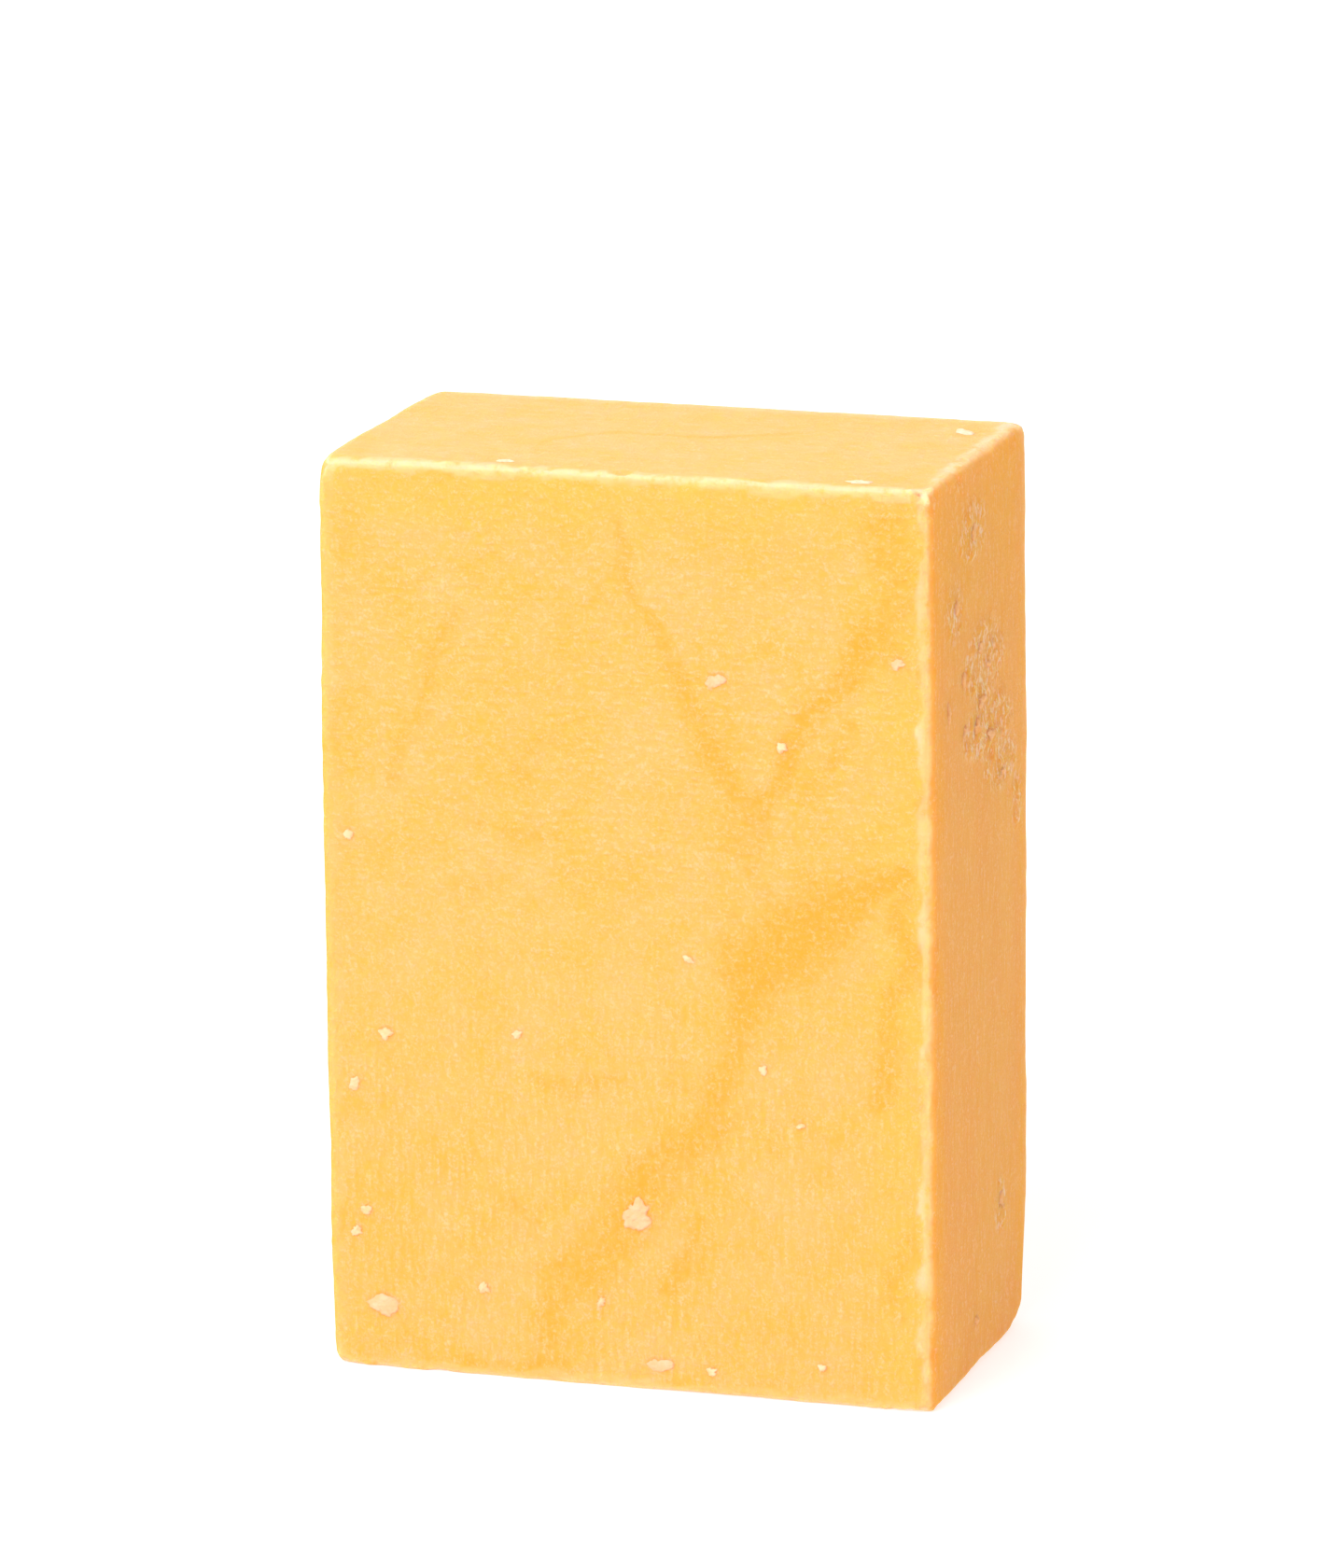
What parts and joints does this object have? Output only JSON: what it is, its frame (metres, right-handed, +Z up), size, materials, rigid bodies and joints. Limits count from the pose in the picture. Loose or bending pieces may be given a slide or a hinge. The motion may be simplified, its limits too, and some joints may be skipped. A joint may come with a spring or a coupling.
{
  "type": "clay bar",
  "caption": "Hand-cut rectangular block of waxy yellow clay compound standing on its end, with rubbed edges and flakes of its own material clinging to its faces.",
  "frame": {"origin": "middle of the block's foot, on the surface that it stands on", "axes": "+Z up along the block's height, +X to the right across its width, -Y out of its front face"},
  "size_m": [0.055, 0.031, 0.0813],
  "materials": {
    "clay": "waxy, satin, slightly translucent",
    "dry_flake": "dry, matt",
    "side_crumb": "dry, matt"
  },
  "bodies": {
    "root": {"clay_block": "clay", "front_flakes": "dry_flake", "front_crumbs": "dry_flake", "right_side_crumbs": "side_crumb", "left_side_crumbs": "dry_flake", "back_crumbs": "dry_flake", "top_flakes": "dry_flake"}
  },
  "joints": []
}
